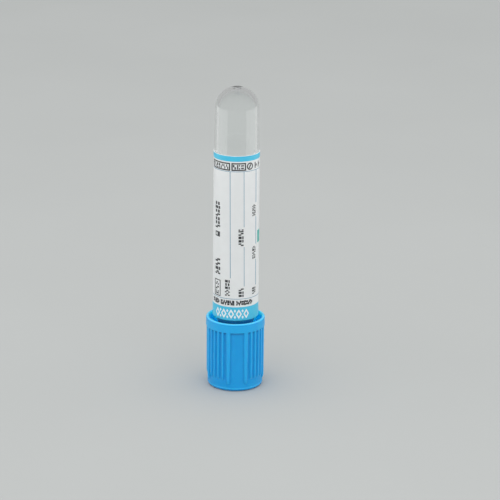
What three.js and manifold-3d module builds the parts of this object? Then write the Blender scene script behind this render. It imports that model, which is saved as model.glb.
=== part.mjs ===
// A small evacuated blood collection tube, standing upside down on its pull-off cap.
// Millimetres. +Z runs up the axis, from the cap's end face at z = 0 to the tube's round end.
// Every piece is turned about that axis, and angles are counted in degrees from -Y towards +X.

import * as THREE from "three";
import { mergeVertices } from "three/addons/utils/BufferGeometryUtils.js";
import Module from "manifold-3d";

const wasm = await Module();
wasm.setup();

// ---------------------------------------------------------------- driving dimensions

const SIDES = 48; // facets round the axis, the same on every piece so that fits stay true
const ARC_STEPS = 3; // straight steps in a small rounded edge
const DOME_STEPS = 8; // straight steps in a quarter of the tube's round end

// Tube: one clear moulding, open at the mouth, round at the other end.
const TUBE_LENGTH = 75;
const TUBE_RADIUS = 6.2; // outside, at the mouth
const LABEL_TAPER = 0.08; // how much smaller the radius is at the label's top
const DOME_TAPER = 0.25; // how much smaller it is at the round end
const TUBE_WALL = 0.95;
const MOUTH_EDGE = 0.2; // bevel inside and outside the mouth
const GATE_LAND_RADIUS = 1.4; // flat ring round the moulding gate's dimple
const GATE_DIMPLE_RADIUS = 1.0;
const GATE_DIMPLE_DEPTH = 0.35;
const GATE_STUB_RADIUS = 0.45; // cut-off stub in the middle of the dimple
const GATE_STUB_HEIGHT = 0.2;

// Cap: one blue moulding, an end wall with a needle hole and a ribbed skirt.
const CAP_HEIGHT = 19.8;
const SKIRT_GAP = 1.02; // from the tube's mouth radius to the inside of the skirt
const SKIRT_WALL = 0.9; // from the inside of the skirt to the ribs' tops and the rim band
const CAP_END_INSET = 0.64; // how much smaller the side's radius is at the end face's edge
const CAP_END_EDGE = 0.35;
const END_WALL = 1.3;
const NEEDLE_HOLE_RADIUS = 4.2;
const RIM_BAND_HEIGHT = 2.6; // plain band between the lip and the ribs
const RIB_END = 3.3; // height at which the ribs have faded into the side
const RIB_FADE = 1.3; // height over which their ends round off
const RIB_DEPTH = 0.36; // how far the ribs and the rim band stand over the grooves
const RIB_ROOT = 0.2; // how far the ribs' feet run into the wall that they stand on
const LIP_EDGE = 0.28;
const LIP_WALL = 0.55; // at the very lip, where the inside flares open
const LIP_FLARE = 1.4; // depth of that flare
const BEAD_HEIGHT = 0.7; // ring inside the cap that keeps the stopper in
const BEAD_RUN_OUT = 1.6; // height of the cone from the bead to the skirt's inside
const PANELS = 4; // smooth panels round the cap, with ribs between them
const PANEL_WIDTH = 26.8; // degrees
const WIDE_RIB_WIDTH = 9.2; // degrees, one on each side of a panel
const GROOVE_WIDTH = 4.8; // degrees
const GROOVES = 5; // between two panels
const CAP_TURN = 4.5; // degrees by which a panel's centre is turned from -Y

// Stopper: one rubber moulding, a head in the cap and a ringed plug in the tube's bore.
const HEAD_HEIGHT = 8.2;
const HEAD_EDGE = 0.3;
const HEAD_OVER_TUBE = 0.5; // how far the head stands out beyond the tube's mouth
const PLUG_LENGTH = 11.2;
const PLUG_TIP_EDGE = 0.5;
const PLUG_RINGS = 3; // sealing rings
const PLUG_RING_HEIGHT = 1.5;
const PLUG_RING_DEPTH = 0.35; // how far the plug is relieved between its rings
const WELL_RADIUS = 3.2; // needle well in the head
const SEPTUM = 3.9; // rubber between the well and the cup
const WELL_DEPTH = 6.1;
const CUP_RADIUS = 3.3; // cup in the plug's tip
const CUP_EDGE = 0.3;

// Additive: the citrate solution that lies in the stopper's cup.
const ADDITIVE_VOLUME = 200; // cubic millimetres

// Label: a printed film wrapped round the tube, with the back of the tube left clear.
const LABEL_BELOW_DOME = 11.72; // from its top edge up to where the round end starts
const LABEL_THICKNESS = 0.12;
const LABEL_ABOVE_CAP = 0.5;
const WINDOW_WIDTH = 130; // degrees left bare
const WINDOW_CENTRE = 180; // degrees

// Clearances between pieces.
const PLUG_CLEARANCE = 0.05; // plug in bore
const HEAD_CLEARANCE = 0.05; // head in cap
const BEAD_CLEARANCE = 0.12; // tube through the bead
const GLUE = 0.02; // label on tube
const ADDITIVE_CLEARANCE = 0.03; // additive in cup

// ---------------------------------------------------------------- places that follow

const mouthZ = END_WALL + HEAD_HEIGHT;
const topZ = mouthZ + TUBE_LENGTH;
const domeRadius = TUBE_RADIUS - DOME_TAPER;
const domeZ = topZ - Math.sqrt(domeRadius ** 2 - GATE_LAND_RADIUS ** 2);
const labelLowZ = CAP_HEIGHT + LABEL_ABOVE_CAP;
const labelTopZ = domeZ - LABEL_BELOW_DOME;
const labelTopRadius = TUBE_RADIUS - LABEL_TAPER; // of the tube there
const plugTopZ = mouthZ + PLUG_LENGTH;
const septumLowZ = END_WALL + WELL_DEPTH;
const cupFloorZ = septumLowZ + SEPTUM;
const headRadius = TUBE_RADIUS + HEAD_OVER_TUBE;
const skirtRadius = TUBE_RADIUS + SKIRT_GAP;
const capRadius = skirtRadius + SKIRT_WALL;
const grooveRadius = capRadius - RIB_DEPTH;
const bandLowZ = CAP_HEIGHT - RIM_BAND_HEIGHT;

// Outside radius of the tube's side at a height: two straight tapers that meet at the label's top.
function tubeRadiusAt(z) {
  const lerp = THREE.MathUtils.mapLinear;
  if (z < labelTopZ) return lerp(z, mouthZ, labelTopZ, TUBE_RADIUS, labelTopRadius);
  return lerp(z, labelTopZ, domeZ, labelTopRadius, domeRadius);
}

// ---------------------------------------------------------------- tools

const point = (radius, z) => new THREE.Vector2(radius, z);

// Points along an elliptical arc about (radius, z), from one angle to another in degrees.
// Angle 0 points away from the axis and 90 points up.
function arc(radius, z, across, along, from, to, steps = ARC_STEPS) {
  const path = new THREE.EllipseCurve(
    radius, z, across, along,
    THREE.MathUtils.degToRad(from), THREE.MathUtils.degToRad(to), to < from,
  );
  return path.getPoints(steps);
}

// A solid turned about +Z from a profile of radius and height.
function turned(profile) {
  return new THREE.LatheGeometry(profile, SIDES).rotateX(Math.PI / 2);
}

// A ring sector standing on a height, given by its middle angle and width in degrees.
function sector(innerRadius, outerRadius, middle, width, lowZ, highZ) {
  const from = THREE.MathUtils.degToRad(middle - width / 2 - 90);
  const to = THREE.MathUtils.degToRad(middle + width / 2 - 90);
  const outline = new THREE.Shape();
  outline.absarc(0, 0, outerRadius, from, to, false);
  outline.absarc(0, 0, innerRadius, to, from, true);
  const options = { depth: highZ - lowZ, bevelEnabled: false, curveSegments: 4 };
  return new THREE.ExtrudeGeometry(outline, options).translate(0, 0, lowZ);
}

// A three.js geometry as a manifold-3d solid.
function solid(geometry) {
  const bare = geometry.clone();
  bare.deleteAttribute("normal");
  bare.deleteAttribute("uv");
  const merged = mergeVertices(bare, 1e-4);
  const triVerts = new Uint32Array(merged.index.array);
  const vertProperties = new Float32Array(merged.attributes.position.array);
  return new wasm.Manifold(new wasm.Mesh({ numProp: 3, vertProperties, triVerts }));
}

// A manifold-3d solid as a three.js geometry.
function geometryOf(made) {
  const { vertProperties, triVerts } = made.getMesh();
  const geometry = new THREE.BufferGeometry();
  geometry.setAttribute("position", new THREE.BufferAttribute(vertProperties, 3));
  geometry.setIndex(new THREE.BufferAttribute(triVerts, 1));
  geometry.computeVertexNormals();
  return geometry;
}

function piece(name, geometry, finish) {
  const mesh = new THREE.Mesh(geometry, new THREE.MeshStandardMaterial(finish));
  mesh.name = name;
  return mesh;
}

// ---------------------------------------------------------------- pieces

function tube() {
  const boreDome = domeRadius - TUBE_WALL;
  const inside = (z) => tubeRadiusAt(z) - TUBE_WALL;
  const profile = [
    ...arc(0, domeZ, boreDome, boreDome, 90, 0, DOME_STEPS),
    point(inside(labelTopZ), labelTopZ),
    point(inside(mouthZ), mouthZ + MOUTH_EDGE),
    point(inside(mouthZ) + MOUTH_EDGE, mouthZ),
    point(TUBE_RADIUS - MOUTH_EDGE, mouthZ),
    point(TUBE_RADIUS, mouthZ + MOUTH_EDGE),
    point(labelTopRadius, labelTopZ),
    ...arc(0, domeZ, domeRadius, domeRadius, 0, landAngle(), DOME_STEPS),
    point(GATE_DIMPLE_RADIUS, topZ),
    point(GATE_STUB_RADIUS, topZ - GATE_DIMPLE_DEPTH),
    point(GATE_STUB_RADIUS, topZ - GATE_DIMPLE_DEPTH + GATE_STUB_HEIGHT),
    point(0, topZ - GATE_DIMPLE_DEPTH + GATE_STUB_HEIGHT),
  ];
  const finish = { color: 0xd8e6e2, roughness: 0.08, metalness: 0, transparent: true, opacity: 0.4 };
  return piece("tube", turned(profile), finish);
}

// Angle, above the round end's centre, at which the sphere reaches the gate's flat ring.
function landAngle() {
  return THREE.MathUtils.radToDeg(Math.acos(GATE_LAND_RADIUS / domeRadius));
}

// The cap without its ribs: end wall, side, rim band, and the seat, bead and skirt inside.
function capShell() {
  const endRadius = capRadius - CAP_END_INSET;
  const seatRadius = headRadius + HEAD_CLEARANCE;
  const beadRadius = TUBE_RADIUS + BEAD_CLEARANCE;
  const beadLowZ = mouthZ + HEAD_CLEARANCE;
  const beadTopZ = beadLowZ + BEAD_HEIGHT;
  return turned([
    point(NEEDLE_HOLE_RADIUS, 0),
    ...arc(endRadius - CAP_END_EDGE, CAP_END_EDGE, CAP_END_EDGE, CAP_END_EDGE, -90, 0),
    point(grooveRadius, RIB_END),
    point(grooveRadius, bandLowZ),
    point(capRadius, bandLowZ),
    ...arc(capRadius - LIP_EDGE, CAP_HEIGHT - LIP_EDGE, LIP_EDGE, LIP_EDGE, 0, 90),
    point(capRadius - LIP_WALL, CAP_HEIGHT),
    point(skirtRadius, CAP_HEIGHT - LIP_FLARE),
    point(skirtRadius, beadTopZ + BEAD_RUN_OUT),
    point(beadRadius, beadTopZ),
    point(beadRadius, beadLowZ),
    point(seatRadius, beadLowZ),
    point(seatRadius, END_WALL),
    point(NEEDLE_HOLE_RADIUS, END_WALL),
    point(NEEDLE_HOLE_RADIUS, 0),
  ]);
}

// The ring that all ribs are cut from, rounded off at its lower end.
function ribRing() {
  const rootRadius = grooveRadius - RIB_ROOT;
  return turned([
    point(rootRadius, RIB_END),
    ...arc(grooveRadius, RIB_END + RIB_FADE, RIB_DEPTH, RIB_FADE, -90, 0),
    point(capRadius, bandLowZ),
    point(rootRadius, bandLowZ),
    point(rootRadius, RIB_END),
  ]);
}

// Middle angle and width of each rib, in degrees: two wide ones beside a panel, and narrow ones
// between the grooves.
function ribPlaces() {
  const quarter = 360 / PANELS;
  const firstGroove = PANEL_WIDTH / 2 + WIDE_RIB_WIDTH + GROOVE_WIDTH / 2;
  const pitch = (quarter - 2 * firstGroove) / (GROOVES - 1);
  const wideAt = (PANEL_WIDTH + WIDE_RIB_WIDTH) / 2;
  const places = [];
  for (let side = 0; side < PANELS; side += 1) {
    const middle = CAP_TURN + side * quarter;
    places.push([middle - wideAt, WIDE_RIB_WIDTH], [middle + wideAt, WIDE_RIB_WIDTH]);
    for (let groove = 1; groove < GROOVES; groove += 1) {
      places.push([middle + firstGroove + (groove - 0.5) * pitch, pitch - GROOVE_WIDTH]);
    }
  }
  return places;
}

function cap() {
  const ring = solid(ribRing());
  const within = (middle, width) =>
    solid(sector(NEEDLE_HOLE_RADIUS, capRadius + 1, middle, width, 0, CAP_HEIGHT));
  let made = solid(capShell());
  for (const [middle, width] of ribPlaces()) made = made.add(ring.intersect(within(middle, width)));
  return piece("cap", geometryOf(made), { color: 0x2a9ce0, roughness: 0.45, metalness: 0 });
}

// Outline of the plug's side: rings of full width with relieved bands between them.
function plugSide() {
  const ringRadius = tubeRadiusAt(plugTopZ) - TUBE_WALL - PLUG_CLEARANCE;
  const neckRadius = ringRadius - PLUG_RING_DEPTH;
  const pitch = PLUG_LENGTH / PLUG_RINGS;
  const points = [point(neckRadius, mouthZ)];
  for (let ring = 0; ring < PLUG_RINGS; ring += 1) {
    const highZ = mouthZ + (ring + 1) * pitch - (ring === PLUG_RINGS - 1 ? PLUG_TIP_EDGE : 0);
    const lowZ = highZ - PLUG_RING_HEIGHT;
    points.push(point(neckRadius, lowZ - PLUG_RING_DEPTH));
    points.push(point(ringRadius, lowZ));
    points.push(point(ringRadius, highZ));
    if (ring < PLUG_RINGS - 1) points.push(point(neckRadius, highZ + PLUG_RING_DEPTH));
  }
  points.push(point(ringRadius - PLUG_TIP_EDGE, plugTopZ));
  return points;
}

function stopper() {
  const profile = [
    point(0, septumLowZ),
    point(WELL_RADIUS, septumLowZ),
    point(WELL_RADIUS, END_WALL),
    point(headRadius - HEAD_EDGE, END_WALL),
    point(headRadius, END_WALL + HEAD_EDGE),
    point(headRadius, mouthZ),
    ...plugSide(),
    point(CUP_RADIUS + CUP_EDGE, plugTopZ),
    point(CUP_RADIUS, plugTopZ - CUP_EDGE),
    point(CUP_RADIUS, cupFloorZ),
    point(0, cupFloorZ),
  ];
  return piece("stopper", turned(profile), { color: 0x1a74c0, roughness: 0.75, metalness: 0 });
}

function additive() {
  const radius = CUP_RADIUS - ADDITIVE_CLEARANCE;
  const surfaceZ = cupFloorZ + ADDITIVE_VOLUME / (Math.PI * radius ** 2);
  const profile = [
    point(0, cupFloorZ),
    point(radius, cupFloorZ),
    point(radius, surfaceZ),
    point(0, surfaceZ),
  ];
  const finish = { color: 0xe6eef0, roughness: 0.03, metalness: 0, transparent: true, opacity: 0.5 };
  return piece("citrate_additive", turned(profile), finish);
}

function label() {
  const inner = (z) => tubeRadiusAt(z) + GLUE;
  const sleeve = turned([
    point(inner(labelLowZ), labelLowZ),
    point(inner(labelLowZ) + LABEL_THICKNESS, labelLowZ),
    point(inner(labelTopZ) + LABEL_THICKNESS, labelTopZ),
    point(inner(labelTopZ), labelTopZ),
    point(inner(labelLowZ), labelLowZ),
  ]);
  const insideTube = labelTopRadius - TUBE_WALL;
  const window = sector(insideTube, capRadius, WINDOW_CENTRE, WINDOW_WIDTH, labelLowZ - 1, labelTopZ + 1);
  const made = solid(sleeve).subtract(solid(window));
  return piece("label", geometryOf(made), { color: 0xf2f5f4, roughness: 0.4, metalness: 0 });
}

// ---------------------------------------------------------------- assembly

const closure = new THREE.Group();
closure.add(cap(), stopper(), additive());

const vessel = new THREE.Group();
vessel.add(tube(), label());

const collectionTube = new THREE.Group();
collectionTube.add(closure, vessel);

export default collectionTube;
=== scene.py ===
# %% [markdown]
# # A small blood collection tube, upside down on its cap
#
# The real object is five pieces: a clear moulded tube with a round end, a printed film label
# wrapped round it, a light-blue ribbed cap, a blue rubber stopper inside the cap, and a little
# citrate solution lying in the stopper's cup. The frame gives each piece's place and size. This
# script makes a fine surface for each one and gives it its finish.
#
# Everything is round about the vertical axis, so every piece starts as a profile: a line of
# radius and height that is carried round the axis. Angles are counted from the front, which is
# -Y, towards +X.

import bpy
import numpy as np
from mathutils import Matrix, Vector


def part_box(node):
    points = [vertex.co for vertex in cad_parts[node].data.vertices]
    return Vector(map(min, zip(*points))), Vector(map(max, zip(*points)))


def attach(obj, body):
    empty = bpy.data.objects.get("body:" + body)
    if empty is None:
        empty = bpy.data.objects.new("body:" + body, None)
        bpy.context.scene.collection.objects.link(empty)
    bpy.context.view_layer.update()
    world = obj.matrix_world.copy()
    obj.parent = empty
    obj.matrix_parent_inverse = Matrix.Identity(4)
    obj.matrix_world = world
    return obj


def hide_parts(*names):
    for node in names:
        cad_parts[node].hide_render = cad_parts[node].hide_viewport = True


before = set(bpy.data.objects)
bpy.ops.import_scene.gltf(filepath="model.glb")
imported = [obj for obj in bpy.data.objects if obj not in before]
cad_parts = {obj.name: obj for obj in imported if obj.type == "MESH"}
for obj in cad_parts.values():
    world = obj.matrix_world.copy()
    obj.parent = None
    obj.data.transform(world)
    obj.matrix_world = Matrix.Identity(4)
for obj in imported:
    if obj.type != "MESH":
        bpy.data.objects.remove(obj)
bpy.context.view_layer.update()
MM = 0.001

# %% [markdown]
# The frame's boxes say how large each piece is and where it stands. Only what a box can't say,
# such as a wall's thickness or a taper, is named here. All of it is in millimetres, and the
# meshes are brought to metres when they are made.


# %% Sizes from the frame
def reach(node):
    """Half the width across X, the lowest and the highest height of a node, in millimetres."""
    low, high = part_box(node)
    return (high[0] - low[0]) / 2 / MM, low[2] / MM, high[2] / MM


TUBE_RADIUS, MOUTH_Z, TOP_Z = reach("tube")
CAP_RADIUS, _, CAP_TOP_Z = reach("cap")
HEAD_RADIUS, HEAD_LOW_Z, PLUG_TOP_Z = reach("stopper")
POOL_RADIUS, POOL_LOW_Z, POOL_TOP_Z = reach("citrate_additive")
_, LABEL_LOW_Z, LABEL_TOP_Z = reach("label")

TUBE_WALL = 0.95
LABEL_TAPER = 0.08
DOME_TAPER = 0.25
DOME_RADIUS = TUBE_RADIUS - DOME_TAPER
WAIST_RADIUS = TUBE_RADIUS - LABEL_TAPER
print(f"tube {TUBE_RADIUS:.2f} from {MOUTH_Z:.2f} to {TOP_Z:.2f}, cap {CAP_RADIUS:.2f} to {CAP_TOP_Z:.2f}")

# %% [markdown]
# ## Making surfaces from profiles
#
# A moulded piece has no sharp corners, because the steel that it was made in was rounded a
# little. A bevel modifier could do that afterwards, but the profile is a better place: each
# corner carries its own rounding, and the points can be set close together where the surface
# turns and far apart where it is straight.


# %% Rounded profiles
def fillet(before, corner, after, radius, steps):
    """A circle's arc that touches both straight lines at a corner.

    The lines turn by an angle. The arc starts where the distance to the corner is the radius
    times the tangent of half that angle, and its centre lies square to the first line.
    """
    first = (corner - before) / np.linalg.norm(corner - before)
    second = (after - corner) / np.linalg.norm(after - corner)
    turn = np.arctan2(first[0] * second[1] - first[1] * second[0], first @ second)
    square = np.array([-first[1], first[0]]) * np.sign(turn)
    centre = corner - first * radius * abs(np.tan(turn / 2)) + square * radius
    angle = np.linspace(0.0, turn, steps)
    across = -square[0] * np.cos(angle) + square[1] * np.sin(angle)
    along = -square[0] * np.sin(angle) - square[1] * np.cos(angle)
    return centre + radius * np.stack([across, along], axis=1)


def divide(points, step, margin=0.04, least=0.32):
    """Adds points to the straight lines of a profile, no further apart than the step.

    A line that has the least length also gets a point close to each of its ends, so that a
    rounded edge keeps its shading to itself and the flat beside it stays flat.
    """
    parts = [points[:1]]
    for start, end in zip(points[:-1], points[1:]):
        length = np.linalg.norm(end - start)
        shares = np.linspace(0.0, 1.0, int(np.ceil(length / step)) + 1)[1:]
        if length > least:
            shares = np.sort(np.concatenate([shares, [margin / length, 1 - margin / length]]))
        parts.append(start + shares[:, None] * (end - start))
    return np.concatenate(parts)


def rounded(corners, step=2.0, steps=6):
    """A profile from (radius, height, rounding) corners, from its first corner to its last."""
    places = np.array([corner[:2] for corner in corners], dtype=float)
    parts = [places[:1]]
    for at in range(1, len(corners) - 1):
        if corners[at][2] > 0:
            parts.append(fillet(*places[at - 1 : at + 2], corners[at][2], steps))
        else:
            parts.append(places[at : at + 1])
    parts.append(places[-1:])
    return divide(np.concatenate(parts), step)


def arc(radius, centre_z, start, end, steps):
    """Corners with no rounding on a circle whose centre is on the axis.

    The radius is times the angle's cosine and the height is its sine, so 90 degrees is the top.
    """
    angles = np.radians(np.linspace(start, end, steps))
    return [(radius * np.cos(a), centre_z + radius * np.sin(a), 0) for a in angles]


# %% [markdown]
# A profile carried round the axis gives a grid of points: one row for each point of the
# profile and one column for each angle. Neighbouring points make a face. The last column is
# joined to the first, and an end that lies on the axis becomes one point with a fan of
# triangles, so the surface is closed.


# %% Meshes from grids
def mesh_object(name, points, faces, smooth=True):
    """A mesh object at the origin from points in millimetres and lists of corner numbers."""
    mesh = bpy.data.meshes.new(name)
    mesh.from_pydata((np.asarray(points) * MM).tolist(), [], faces)
    mesh.polygons.foreach_set("use_smooth", np.full(len(mesh.polygons), smooth))
    mesh.update()
    made = bpy.data.objects.new(name, mesh)
    bpy.context.scene.collection.objects.link(made)
    print(name, len(mesh.vertices), "points", len(mesh.polygons), "faces")
    return made


def around(angles, radius, height):
    """Points at an angle from the front, a radius and a height. The arrays match or spread.

    X is the radius times the angle's sine, and Y is less the radius times its cosine.
    """
    turn, radius, height = np.broadcast_arrays(np.radians(angles), radius, height)
    return np.stack([radius * np.sin(turn), -radius * np.cos(turn), height], axis=-1)


def quads(index):
    """Four corner numbers for each face between neighbouring rows and columns of a grid."""
    corners = [index[:-1, :-1], index[:-1, 1:], index[1:, 1:], index[1:, :-1]]
    return np.stack(corners, axis=-1).reshape(-1, 4)


def fan(pole, ring):
    """Triangles between one point and a closed ring of corner numbers."""
    return np.stack([np.full(len(ring) - 1, pole), ring[1:], ring[:-1]], axis=-1)


def revolved(name, profile, sides=256):
    """A closed surface of revolution from a profile that starts and ends on the axis.

    The profile runs so that its outside is on the right. Its two end points are the poles.
    """
    ring = profile[1:-1]
    angles = np.arange(sides) * 360.0 / sides
    points = around(angles[None, :], ring[:, :1], ring[:, 1:]).reshape(-1, 3)
    poles = around(0.0, 0.0, profile[[0, -1], 1])
    index = np.arange(len(points)).reshape(len(ring), sides)
    index = np.concatenate([index, index[:, :1]], axis=1)
    faces = quads(index).tolist() + fan(len(points), index[0]).tolist()
    faces += fan(len(points) + 1, index[-1][::-1]).tolist()
    return mesh_object(name, np.concatenate([points, poles]), faces)


# %% [markdown]
# Each new piece does two things in the frame: it rides on a body, and it stands in for the plain node of
# that name.


# %% Put a piece in the frame
def fit(piece, body, node):
    """Rides a piece on a body in place of a node."""
    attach(piece, body)
    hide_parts(node)


# %% [markdown]
# ## Finishes
#
# Plastic, rubber and film are never quite even. They share one effect: a soft mottle that makes
# colour and gloss drift a little, and a fine grain from the mould. It could be painted, but then
# each piece would need a map of its own. Here it is built once as a node group and placed in
# each material with its own scale and strength. The group reads Object coordinates, which are
# metres on the piece, so a scale of 400 gives patches of 2.5 millimetres.

# %% The shared surface group
DRIFT_SCALE = 400.0
GRAIN_SCALE = 6000.0
DRIFT_DETAIL = 4.0
GRAIN_DETAIL = 2.0
NOISE_RANGE = (0.3, 0.7)


def node_group(name, inputs, outputs):
    """An empty node group with named number sockets, and its input and output nodes."""
    group = bpy.data.node_groups.new(name, "ShaderNodeTree")
    for label, default in inputs.items():
        socket = group.interface.new_socket(label, in_out="INPUT", socket_type="NodeSocketFloat")
        socket.default_value = default
    for label in outputs:
        group.interface.new_socket(label, in_out="OUTPUT", socket_type="NodeSocketFloat")
    given = group.nodes.new("NodeGroupInput").outputs
    out = group.nodes.new("NodeGroupOutput").inputs
    return group, given, out


def calculation(tree, operation, first, second=0.0, clamp=False):
    """The output of a Math node. Each value may be a number or another node's socket."""
    node = tree.nodes.new("ShaderNodeMath")
    node.operation = operation
    node.use_clamp = clamp
    for socket, value in zip(node.inputs, (first, second)):
        if isinstance(value, (int, float)):
            socket.default_value = value
        else:
            tree.links.new(value, socket)
    return node.outputs[0]


def build_surface():
    """A mask that drifts from 0 to 1 over the surface, a gloss that follows it, and a grain.

    The mask is noise, spread so that its usual range becomes 0 to 1. The gloss is the same
    mask, brought between its low and its high value. The grain is a finer noise.
    """
    inputs = {"Drift Scale": DRIFT_SCALE, "Grain Scale": GRAIN_SCALE, "Low": 0.3, "High": 0.4}
    group, given, out = node_group("moulded_surface", inputs, ("Drift", "Gloss", "Grain"))
    place = group.nodes.new("ShaderNodeTexCoord")
    spread = group.nodes.new("ShaderNodeMapRange")
    spread.inputs["From Min"].default_value, spread.inputs["From Max"].default_value = NOISE_RANGE
    gloss = group.nodes.new("ShaderNodeMapRange")
    for scale, detail, target in (
        ("Drift Scale", DRIFT_DETAIL, spread.inputs["Value"]),
        ("Grain Scale", GRAIN_DETAIL, out["Grain"]),
    ):
        noise = group.nodes.new("ShaderNodeTexNoise")
        noise.inputs["Detail"].default_value = detail
        group.links.new(place.outputs["Object"], noise.inputs["Vector"])
        group.links.new(given[scale], noise.inputs["Scale"])
        group.links.new(noise.outputs["Fac"], target)
    group.links.new(spread.outputs["Result"], gloss.inputs["Value"])
    group.links.new(given["Low"], gloss.inputs["To Min"])
    group.links.new(given["High"], gloss.inputs["To Max"])
    group.links.new(gloss.outputs["Result"], out["Gloss"])
    group.links.new(spread.outputs["Result"], out["Drift"])
    return group


SURFACE = build_surface()
print("shared surface", len(SURFACE.nodes), "nodes")


# %% Colours and a finish to start from
def shown(red, green, blue):
    """The shader's linear colour for a colour given as a screen shows it, from 0 to 255.

    This is the standard screen curve. As shares of 1, colours up to 0.04045 are divided by
    12.92. The rest get 0.055 more, are divided by 1.055 and are raised to the power 2.4.
    """
    colour = np.array([red, green, blue]) / 255.0
    low = colour / 12.92
    high = ((colour + 0.055) / 1.055) ** 2.4
    return (*np.where(colour <= 0.04045, low, high).tolist(), 1.0)


def mixed(tree, factor, first, second):
    """A colour between two others. Each may be a plain colour or another node's socket."""
    mix = tree.nodes.new("ShaderNodeMix")
    mix.data_type = "RGBA"
    tree.links.new(factor, mix.inputs["Factor"])
    for socket, value in ((mix.inputs["A"], first), (mix.inputs["B"], second)):
        if isinstance(value, tuple):
            socket.default_value = value
        else:
            tree.links.new(value, socket)
    return mix.outputs["Result"]


def finish(name, colours, gloss, depth, drift=DRIFT_SCALE, grain=GRAIN_SCALE):
    """A material with the shared surface: two colours, a roughness range and a bump.

    The depth of the bump is in millimetres. Returns the material, its tree and its shader.
    """
    material = bpy.data.materials.new(name)
    material.use_nodes = True
    tree = material.node_tree
    shader = tree.nodes["Principled BSDF"]
    surface = tree.nodes.new("ShaderNodeGroup")
    surface.node_tree = SURFACE
    values = {"Drift Scale": drift, "Grain Scale": grain, "Low": gloss[0], "High": gloss[1]}
    for label, value in values.items():
        surface.inputs[label].default_value = value
    base = mixed(tree, surface.outputs["Drift"], *colours)
    tree.links.new(base, shader.inputs["Base Color"])
    tree.links.new(surface.outputs["Gloss"], shader.inputs["Roughness"])
    bump = tree.nodes.new("ShaderNodeBump")
    bump.inputs["Distance"].default_value = depth * MM
    tree.links.new(surface.outputs["Grain"], bump.inputs["Height"])
    tree.links.new(bump.outputs["Normal"], shader.inputs["Normal"])
    return material, tree, shader


# %% [markdown]
# ## The ribbed cap
#
# The real cap is one moulding in light-blue polyethylene. Its side is slightly conical at the
# closed end and has a plain rim band at the open end. Below the band are four smooth panels,
# each with a wide rib on either side, and four narrow ribs between one panel's wide rib and the
# next one's. The ribs are rounded off where they run out near the end face.
#
# Ribs could be modelled one by one and joined, but the joins would show. Here the side is one
# grid, and the ribs are a height that is added to the radius. For each point the height is the
# largest of what the ribs and the band give there, so everything blends as in a real mould.
#
# In the names below, a radius is taken from the axis and a Z from the table, and both are in
# millimetres. The widths of panels, ribs and grooves are angles, in degrees.

# %% Sizes of the cap
END_WALL = 1.3
END_INSET = 0.5
END_RADIUS = CAP_RADIUS - END_INSET
FOOT_EDGE = 0.85
NEEDLE_HOLE = 4.2
HOLE_EDGE = 0.2

PANELS = 4
PANEL = 26.8
WIDE_RIB = 9.2
GROOVE = 4.8
NARROW_RIBS = 4
CAP_TURN = 4.5
RIB_DEPTH = 0.46
GROOVE_RADIUS = CAP_RADIUS - RIB_DEPTH
RIB_EDGE = 0.16
RIB_END_Z = 3.3
WIDE_END_Z = 2.1
RIB_FADE = 1.3

BAND_HEIGHT = 2.6
BAND_LOW_Z = CAP_TOP_Z - BAND_HEIGHT
LIP_EDGE = 0.42
LIP_RADIUS = CAP_RADIUS - 0.7
LIP_INNER_EDGE = 0.15
FUNNEL = 1.4
SKIRT_RADIUS = TUBE_RADIUS + 1.02
BEAD_RADIUS = TUBE_RADIUS + 0.12
BEAD_HEIGHTS = (0.75, 2.35)
SEAT_RADIUS = HEAD_RADIUS + 0.05
SEAT_STEP = 0.05
print(f"rim band {BAND_LOW_Z:.2f} to {CAP_TOP_Z:.2f}, skirt {GROOVE_RADIUS - SKIRT_RADIUS:.2f} thick")


# %% Where the ribs stand
def smooth_step(value):
    """0 below 0, 1 above 1, and between them three squares less two cubes of the value."""
    t = np.clip(value, 0.0, 1.0)
    return t * t * (3 - 2 * t)


def rib_places():
    """The middle angles and the widths, in degrees, of all ribs, and which ones are wide.

    A quarter of the turn is a panel, two wide ribs, and five grooves with four ribs between.
    """
    quarter = 360.0 / PANELS
    side = (PANEL + WIDE_RIB) / 2
    free = quarter - PANEL - 2 * WIDE_RIB - GROOVE
    pitch = free / NARROW_RIBS
    first = (PANEL + GROOVE + pitch) / 2 + WIDE_RIB
    middles = [-side, side] + [first + rib * pitch for rib in range(NARROW_RIBS)]
    widths = [WIDE_RIB] * 2 + [pitch - GROOVE] * NARROW_RIBS
    turns = CAP_TURN + quarter * np.arange(PANELS)
    wide = np.array(widths) == WIDE_RIB
    return (turns[:, None] + middles).ravel(), np.tile(widths, PANELS), np.tile(wide, PANELS)


print("ribs", len(rib_places()[0]), "of them wide", rib_places()[2].sum())


# %% The relief of the ribs and the band
WIDE_NARROWING = 0.26
SLIM_NARROWING = 0.06
FLANK_SHIFT = 0.25
RIB_CROWN = 0.1
END_ROUNDNESS = 0.7


def rim_band(heights):
    """0 below the rim band and 1 on it, with a smooth step at its lower edge."""
    return smooth_step((heights - BAND_LOW_Z) / RIB_EDGE + 0.5)


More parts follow.
